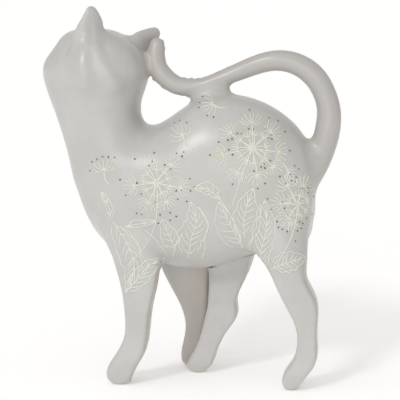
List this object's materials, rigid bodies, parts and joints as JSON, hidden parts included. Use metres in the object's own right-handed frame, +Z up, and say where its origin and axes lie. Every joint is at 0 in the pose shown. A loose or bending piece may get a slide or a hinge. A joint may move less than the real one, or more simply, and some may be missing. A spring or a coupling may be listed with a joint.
{
  "type": "cat figurine",
  "caption": "Standing ceramic cat figurine that looks back over its right shoulder, with slim free legs and a long tail looping forward over the back to the head",
  "frame": {"origin": "bottom centre of the bounding box, on the plane that the four paws stand on", "axes": "+Z up; the trunk lies along X with the chest towards -X and the tail towards +X; the cat's left side faces -Y"},
  "size_m": [0.198, 0.075, 0.2495],
  "materials": {
    "ceramic_body": "matte warm light grey with a faint mottle",
    "slip_lines": "raised pale cream slip lines, satin",
    "dark_dots": "small dark grey dots, matte"
  },
  "bodies": {
    "root": {"trunk_shell": "ceramic_body", "head_shell": "ceramic_body", "left_ear": "ceramic_body", "right_ear": "ceramic_body", "tail": "ceramic_body", "tail_rest": "ceramic_body", "left_front_leg": "ceramic_body", "right_front_leg": "ceramic_body", "left_hind_leg": "ceramic_body", "right_hind_leg": "ceramic_body"}
  },
  "joints": []
}
